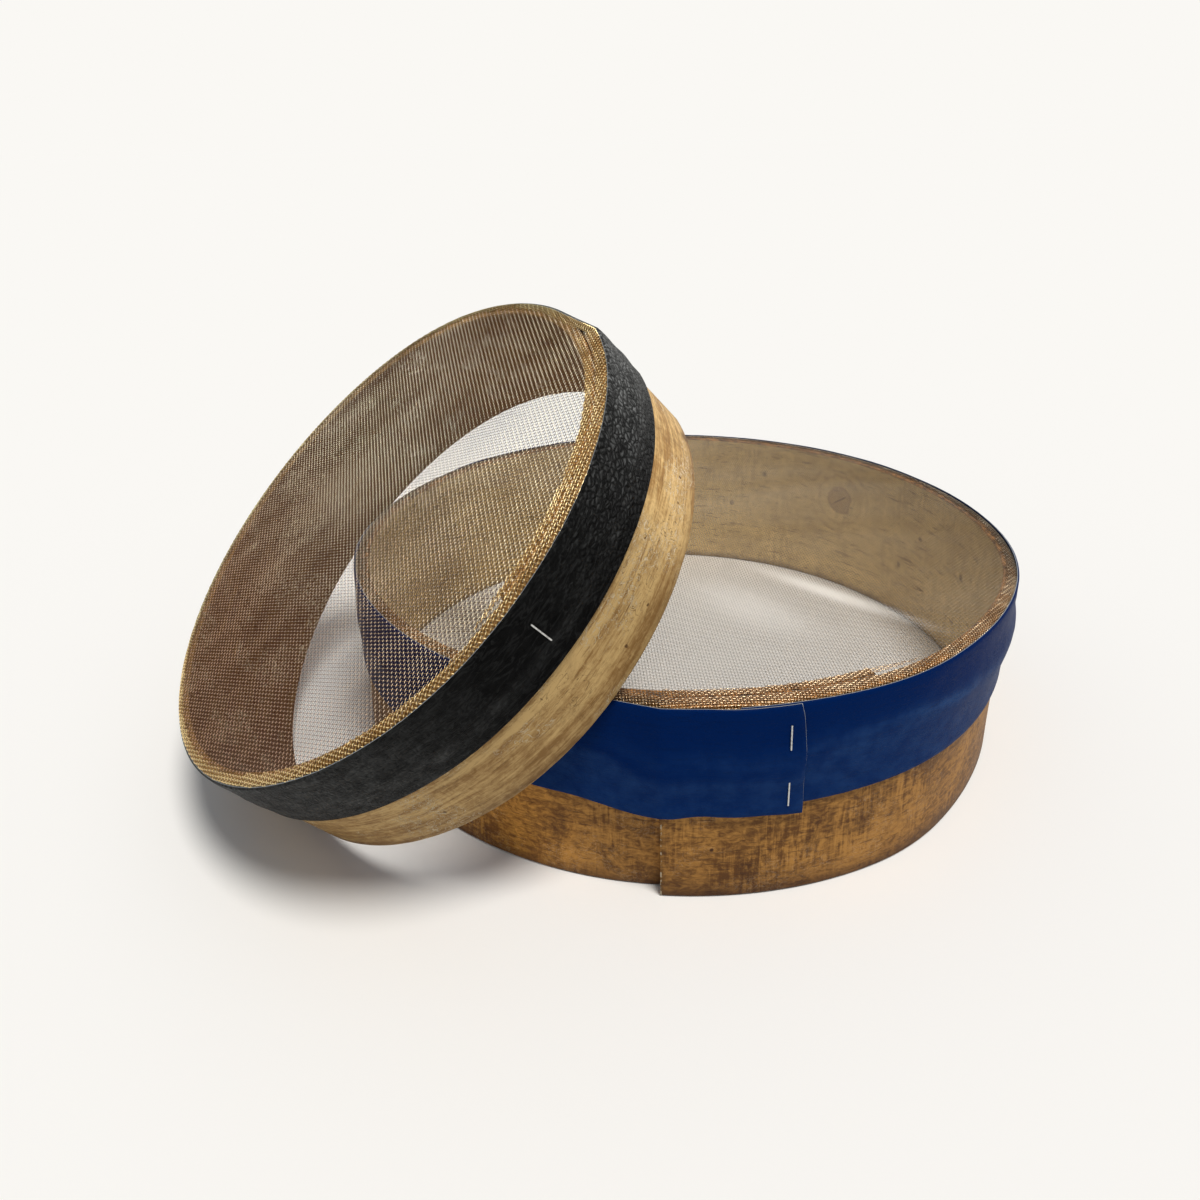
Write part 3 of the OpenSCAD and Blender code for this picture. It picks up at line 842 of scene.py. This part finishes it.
def build_weave(s, label, lines, wire, shares, sag, materials, seed, reach, hole=-1.0,
                lift=0.35, follow="", arc=NO_END):
    """Both directions of a weave, cut between wires into pieces. arc ends a ring
    at an angle past the strip's outer end."""
    first, second = lattice(lines)
    counts = [2 * int((reach + 2.0) / p) + 1 for p, _ in lines]
    ways = (("warp", first, second, counts[0], counts[1], 1.0),
            ("weft", second, -first, counts[1], counts[0], -1.0))
    crimp = wire * 0.5
    for (way, along, across, count_along, count_across, sign), material in zip(ways, materials):
        half = (count_across - 1) / 2
        limits = [math.floor(share * half) + 0.5 for share in shares]
        limits[0], limits[-1] = -half - 1.0, half + 1.0
        for i in range(len(shares) - 1):
            name = f"{s['name']}_{label}_{way}_wires"
            if len(shares) > 2:
                name += f"_{i + 1}"
            mesh = grown(name, {
                "Cloth radius": reach, "Hole radius": hole, "Arc": math.radians(arc),
                "Step along": (*map(float, along), 0.0), "Step across": (*map(float, across), 0.0),
                "Count along": count_along, "Count across": count_across,
                "Wire": wire, "Crimp": crimp * sign, "From": limits[i], "To": limits[i + 1],
                "Material": material})
            points = np.empty(len(mesh.vertices) * 3, np.float32)
            mesh.vertices.foreach_get("co", points)
            points = points.reshape(-1, 3).astype(float)
            # Crown marks the rings of a wire above the cloth's middle, where it passes over; the
            # wire materials paint these bright as glints
            crown = np.repeat(points[:, 2].reshape(-1, 3).mean(axis=1) > 0.0, 3)
            layer = mesh.attributes.new("Crown", "FLOAT", "POINT")
            layer.data.foreach_set("value", crown.astype(np.float32))
            placed = drape(s, points, sag, seed, follow, lift)
            mesh.vertices.foreach_set("co", placed.astype(np.float32).ravel())
            mesh.update()
            nodes = [s["name"] + "_wire_cloth", s["name"] + "_cloth_margin"]
            to_object(name, s, mesh, material, nodes)


# ---- bands ----

def build_band(s, material, shape, edges, sheen, end_wave, seed):
    """Leathercloth strip wound once round, its end lying on its start. shape gives
    the outer face's distance from the cloth, edges its limits, sheen where it
    shines and end_wave how its cut end wanders."""
    start = s["band_end"] - BAND_OVER
    last = s["band_end"] + 360.0
    count, rows = 640, 22
    shares = [0.0, 0.012] + [j / rows for j in range(1, rows)] + [0.988, 1.0]
    top = len(shares) - 1
    sections, along, lit = [], [], []
    turns = list(np.linspace(start, last - 0.12, count)) + [last]
    for i, turn in enumerate(turns):
        raised = BAND_T * 1.1 * smooth(last - BAND_OVER - 5.0, last - BAND_OVER + 0.5, turn)
        low, high = edges(turn)
        outer, inner, place, shine = [], [], [], []
        for j, v in enumerate(shares):
            q = turn + end_wave(v) * smooth(last - 3.0, last, turn)
            a = math.radians(q)
            z = low + (high - low) * v
            proud = shape(q if i < count / 2 else q - 360.0, v) * smooth(1.0, 0.9, v)
            base = outline(s, 0.7, q) + raised + sprung(s, q, z)
            thick = BAND_T * (0.35 if j in (0, top) or i == count else 1.0)
            for r, height, points in ((base + proud + thick, z, outer),
                                      (base + max(0.0, proud - 0.2), z, inner)):
                points.append((r * math.cos(a), r * math.sin(a), height))
            place.append((a * s["r"] * MM, seed, z * MM))
            shine.append(sheen(q if i < count / 2 else q - 360.0, v))
        sections.append(outer + inner[::-1])
        along.append(place + place[::-1])
        lit.extend(shine + shine[::-1])
    mesh = swept_shell(s["name"] + "_leathercloth_band", sections, along)
    layer = mesh.attributes.new("Sheen", "FLOAT", "POINT")
    layer.data.foreach_set("value", np.asarray(lit, np.float32))
    mesh.materials.append(material)
    mesh.materials.append(CUT_EDGE)
    m = 2 * len(shares)
    for face in mesh.polygons:
        rings = {v % m for v in face.vertices}
        at_end = min(face.vertices) >= m * (count - 1)
        is_cap = len(face.vertices) > 4
        if rings in ({top, top + 1}, {0, m - 1}) or is_cap or at_end:
            face.material_index = 1
    obj = to_object(s["name"] + "_leathercloth_band", s, mesh, None, [s["name"] + "_band"])


def table(q, *pairs):
    """A value that changes with the angle q, through pairs of angle and value."""
    q = (q + 180.0) % 360.0 - 180.0
    for (start, first), (end, second) in zip(pairs, pairs[1:]):
        if q <= end:
            return first + (second - first) * float(smooth(start, end, q))
    return pairs[-1][1]


def bell(v, middle, width):
    return math.exp(-((v - middle) / width) ** 2)


# Angle and share of the band's width where it bends over the cloth's margin: at
# its start, and round to its end
RIDGE_START = ((18, 0.52), (26, 0.60), (35, 0.62), (47, 0.56), (60, 0.50), (90, 0.45), (180, 0.45))
RIDGE_END = ((-180, 0.45), (-60, 0.5), (-20, 0.6), (-8, 0.57), (-1.5, 0.42), (4, 0.42), (18, 0.43))
# Angle and height of the band's lower edge, in the same two parts
LOW_START = ((10, 39.3), (19, 39.5), (37, 39.9), (55, 38.4), (180, 38.4))
LOW_END = ((-180, 38.4), (-60, 38.4), (-25, 38.3), (-14, 37.4), (-2.7, 34.9), (1.0, 35.4),
           (5, 36.9), (12.8, 36.7), (18.2, 35.6))
# Share of the width and degrees by which the band's cut end wanders
END_SHARES = (0, 0.12, 0.32, 0.59, 0.71, 0.88, 1)
END_DEGREES = (0.41, 0.46, 0.36, 0.48, 0.38, 0.10, -0.3)
# How far the top edge stands up round the back, in millimetres
RAISED_BACK = 1.4


def navy_ridge(q):
    """Share of the width at which the band bends over the cloth's margin.
    The band's end lies over its start, so the two ends have their own ridge."""
    if q < -180.0:
        q += 360.0
    return table(q, *(RIDGE_START if q > STAND["band_end"] else RIDGE_END))


def navy_shape(q, v):
    """The band stands proud over the cloth's margin and ends on the wood. The two
    staples at its end press it in."""
    ridge = bell(v, navy_ridge(q), 0.17)
    side = float(hump(q + STAND_SEAM, -8.0, 34.0))
    amount = 0.7 + 1.7 * side + 0.45 * wave(q * 0.03, 3.3, 1.0)
    ripple = 0.3 * wave(q * 0.12, v * 2.2, 5.0) + 0.16 * wave(q * 0.35, v * 4.0, 8.0)
    dent = 0.5 * float(hump(q, 16.5, 2.2)) * (bell(v, 0.7, 0.12) + bell(v, 0.15, 0.12))
    lower = -0.55 * smooth(0.4, 0.0, v)
    return max(0.0, 0.3 + amount * ridge + ripple * 0.8 + lower - dent)


def navy_edges(turn):
    """Lower and upper limit along the band, whose last part hangs a little lower.
    The top edge stands up round the back, but not under the leaning sieve."""
    top = STAND["h"] - BAND_DROP
    low = table(turn, *(LOW_END if turn > 200.0 else LOW_START))
    q = turn % 360.0
    back = smooth(62.0, 90.0, q) * smooth(330.0, 300.0, q)
    leant_on = smooth(232.0, 246.0, q) * smooth(281.0, 267.0, q)
    raised = RAISED_BACK * back * (1.0 - leant_on)
    return (low + 0.3 * wave(turn * 0.05, 2.0, 2.0) + 0.1 * wave(turn * 0.6, 2.0, 7.0),
            top + raised + 0.2 * wave(turn * 0.08, 4.0, 1.0) + 0.08 * wave(turn * 0.7, 4.0, 3.0))


def navy_sheen(q, v):
    """The lower half faces the floor and shines pale, with a brighter line under
    the ridge; the side that leans away shines blue all over, and the right side
    has a glossy line on its ridge."""
    ridge = navy_ridge(q) - 0.03
    below = 0.34 * smooth(ridge + 0.02, ridge - 0.10, v)
    below *= 0.85 + 0.3 * wave(q * 0.06, v * 1.5, 7.0)
    line = bell(v, ridge - 0.07, 0.045) * max(0.0, 0.12 + 0.30 * wave(q * 0.09, 3.0, 1.0))
    above = 0.10 * bell(v, ridge + 0.13, 0.10) * (1.0 + wave(q * 0.05, 1.0, 4.0))
    turned_away = 0.55 * float(hump(q, -85.0, 38.0))
    right = float(hump(q, 42.0, 20.0))
    glossy = 0.75 * bell(v, ridge + 0.03, 0.06) + 0.12 * smooth(ridge - 0.05, ridge - 0.2, v)
    return max(0.0, below + line + above + turned_away + right * glossy)


def navy_end(v):
    return float(np.interp(v, END_SHARES, END_DEGREES))


def black_shape(q, v):
    """A lower fold and small wrinkles, over which the pebble grain lies."""
    fold = 0.6 * bell(v, 0.42, 0.12) * (0.7 + 0.6 * wave(q * 0.04, 1.0, 6.0))
    wrinkle = 0.2 * wave(q * 0.5, v * 3.0, 2.0) + 0.1 * wave(q * 1.1, v * 7.0, 4.0)
    dent = 0.4 * float(hump(q, 62.6, 3.0)) * bell(v, 0.55, 0.2)
    lower = -0.5 * smooth(0.35, 0.0, v)
    return max(0.0, 0.25 + fold + wrinkle + lower - dent)


def black_edges(turn):
    top = LEAN["h"] - BAND_DROP
    low = top - LEAN["band_w"]
    return (low + 0.3 * wave(turn * 0.05, 6.0, 2.0) + 0.1 * wave(turn * 0.6, 6.0, 5.0),
            top + 0.2 * wave(turn * 0.08, 8.0, 1.0) + 0.08 * wave(turn * 0.7, 8.0, 3.0))


def black_sheen(q, v):
    """The pebbles shine near the top of the sieve, and all of it low down."""
    top = 0.95 * float(hump(q, 2.0, 28.0)) * (0.35 + 0.65 * smooth(0.1, 0.6, v))
    low = 0.12 * smooth(68.0, 105.0, q % 360.0) * smooth(260.0, 200.0, q % 360.0)
    fold = 0.08 * bell(v, 0.27, 0.08) * (0.6 + wave(q * 0.08, v * 2.0, 3.0))
    return max(0.0, min(1.0, 0.008 + top + low + fold))


def black_end(v):
    return 0.4 * bell(v, 0.6, 0.3)


# ---- staples and nails ----

# Width of the band staples' wire against the CAD's
SLIM = 0.48


def follow_hoop(s, node, material, lift, turn=None, rise=None):
    """A copy of a CAD node's staples or nails that follows the sprung hoop. lift
    says how far further out a point at an angle and a height lies. Band staples,
    which have their own turn, get thinner wire and rise a little."""
    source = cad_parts[node]
    mesh = source.data.copy()
    mesh.transform(s["place"].inverted() @ source.matrix_world)
    for vertex in mesh.vertices:
        x, y, z = vertex.co
        q = math.degrees(math.atan2(y, x)) % 360.0
        far = math.hypot(x, y)
        if turn is not None:
            q = turn + (q - turn) * SLIM
            z += rise(z)
        out = far + sprung(s, q, z) + lift(q, z)
        a = math.radians(q)
        vertex.co = (out * math.cos(a), out * math.sin(a), z)
    mesh.materials.clear()
    if s["place"].determinant() < 0:
        mesh.flip_normals()
    to_object(node + "_seen", s, mesh, material, [node], smooth_shade=False)


def band_lift(s, shape):
    """How far a staple through the band stands out to lie on the band's face, which
    it presses in a little."""
    def lift(q, z):
        low = s["h"] - BAND_DROP - s["band_w"]
        return shape(q, (z - low) / s["band_w"]) - 0.1
    return lift


# ---- making the object ----

build_hoop(STAND, DARK_WOOD, STAND_GRAIN)
build_hoop(LEAN, PALE_WOOD, LEAN_GRAIN)
build_band(STAND, NAVY, navy_shape, navy_edges, navy_sheen, navy_end, 0.2)
build_band(LEAN, BLACK, black_shape, black_edges, black_sheen, black_end, 0.4)
# Spacing and direction of the wires, and where the wires part into pieces
fine = [(1.14, 1.5 - STAND_SEAM), (1.05, 91.0 - STAND_SEAM)]
coarse = [(1.5, LEAN_SEAM - 28.5), (1.23, LEAN_SEAM - 117.5)]
whole, thirds = (-1.0, 1.0), (-1.0, -0.33, 0.33, 1.0)
build_weave(STAND, "cloth", fine, wire=0.185, shares=thirds, sag=1.6, seed=0.4,
            materials=(FINE_WIRE, FINE_WIRE), reach=STAND["r"] + 5.0)
build_weave(LEAN, "cloth", coarse, wire=0.215, shares=whole, sag=1.2, seed=1.7,
            # The warp takes the painted lit copy of the brass, the weft the painted shaded copy
            materials=(LIT_WIRE, SHADED_WIRE), reach=LEAN["r"] + 4.5)
for s, lines, wire, material, lift in ((STAND, fine, 0.28, BRONZE_FOLD, 0.75),
                                       (LEAN, coarse, 0.36, GOLD_FOLD, 0.9)):
    common = dict(wire=wire, shares=whole, sag=0.0, seed=0.4, lift=lift,
                  materials=(material, material), hole=s["r"] - s["strip"] + 1.0)
    build_weave(s, "fold", lines, reach=s["r"] + 2.2, follow="outer", **common)
    build_weave(s, "inner_fold", lines, reach=s["r"] + 0.2, follow="inner",
                arc=s["lap"] + 10.0, **common)
follow_hoop(STAND, "standing_band_staples", STAPLE, band_lift(STAND, navy_shape),
            turn=16.3, rise=lambda z: 2.9 if z > 55.0 else 0.9)
follow_hoop(LEAN, "leaning_band_staple", STAPLE, band_lift(LEAN, black_shape),
            turn=62.4, rise=lambda z: 1.25)
for s in (STAND, LEAN):
    follow_hoop(s, s["name"] + "_cloth_staples", STAPLE, lambda q, z: -0.3)
    follow_hoop(s, s["name"] + "_lap_nails", NAIL, lambda q, z: 0.0)


# ---- floor, light and camera ----

PAPER = (0.956, 0.939, 0.905, 1.0)
SKY_LIGHT = (0.93, 0.99, 1.08, 1.0)
SKY_STRENGTH = 0.30
SUN_COLOUR = (1.0, 0.975, 0.938)
SUN_STRENGTH = 2.430
SUN_TOWARDS = (-0.22, 0.32, -1.0)
SUN_WIDTH = 20.0
# The camera that a fit to the photograph's rims and edges gave: angles in radians,
# the point it looks at and its distance in millimetres, the rest in pixels
PITCH, ROLL = 0.327039, -0.0270326
TARGET, DISTANCE = (-40.7196, 0.0, 117.886), 469.743
FOCAL, CENTRE_X, CENTRE_Y, PHOTO = 959.199, 588.352, 461.979, 1200.0
SENSOR = 36.0


def build_floor():
    mesh = bpy.data.meshes.new("floor")
    side, below = 40.0, 0.0002
    corners = [(-side, -side, 0), (side, -side, 0), (side, side, 0), (-side, side, 0)]
    mesh.from_pydata(corners, [], [(0, 1, 2, 3)])
    floor = bpy.data.objects.new("floor", mesh)
    bpy.context.scene.collection.objects.link(floor)
    floor.location.z = cad_box[0].z - below
    material, n, shader = new_material("pale_floor")
    tree = material.node_tree
    tree.nodes.remove(shader)
    matt = n.add("ShaderNodeBsdfDiffuse", Color=PAPER)
    n.feed(tree.nodes["Material Output"].inputs["Surface"], matt)
    mesh.materials.append(material)


def build_world():
    """Paper all round to the eye and in gloss, and a soft sky as light."""
    world = bpy.data.worlds.new("studio")
    world.use_nodes = True
    bpy.context.scene.world = world
    n = Nodes(world.node_tree)
    ray = world.node_tree.nodes.new("ShaderNodeLightPath").outputs
    bounced = n.maths("MAXIMUM", ray["Is Glossy Ray"], ray["Is Transmission Ray"])
    seen = n.maths("MAXIMUM", ray["Is Camera Ray"], bounced)
    back = world.node_tree.nodes["Background"]
    n.feed(back.inputs["Color"], n.mix(seen, SKY_LIGHT, PAPER))
    strength = n.plus(SKY_STRENGTH, n.times(seen, 1.0 - SKY_STRENGTH))
    n.feed(back.inputs["Strength"], strength)


def build_lights():
    sun = bpy.data.lights.new("soft_key", "SUN")
    sun.energy = SUN_STRENGTH
    sun.color = SUN_COLOUR
    sun.angle = math.radians(SUN_WIDTH)
    obj = bpy.data.objects.new("soft_key", sun)
    bpy.context.scene.collection.objects.link(obj)
    obj.rotation_mode = "QUATERNION"
    obj.rotation_quaternion = Vector(SUN_TOWARDS).to_track_quat("-Z", "Y")


def build_camera():
    ahead = Vector((0.0, math.cos(PITCH), -math.sin(PITCH)))
    right = Vector((1.0, 0.0, 0.0))
    up = Vector((0.0, math.sin(PITCH), math.cos(PITCH)))
    across = math.cos(ROLL) * right + math.sin(ROLL) * up
    above = -math.sin(ROLL) * right + math.cos(ROLL) * up
    spot = Vector(TARGET) - DISTANCE * ahead - Vector(MIDDLE)
    data = bpy.data.cameras.new("camera")
    data.sensor_width = SENSOR
    data.lens = SENSOR * FOCAL / PHOTO
    data.shift_x = (PHOTO / 2 - CENTRE_X) / PHOTO
    data.shift_y = (CENTRE_Y - PHOTO / 2) / PHOTO
    data.clip_start = 0.01
    camera = bpy.data.objects.new("camera", data)
    bpy.context.scene.collection.objects.link(camera)
    turn = Matrix((across, above, -ahead)).transposed()
    camera.matrix_world = Matrix.Translation(spot * MM) @ turn.to_4x4()
    bpy.context.scene.camera = camera


build_floor()
build_world()
build_lights()
build_camera()
bpy.context.scene.view_settings.view_transform = "Standard"
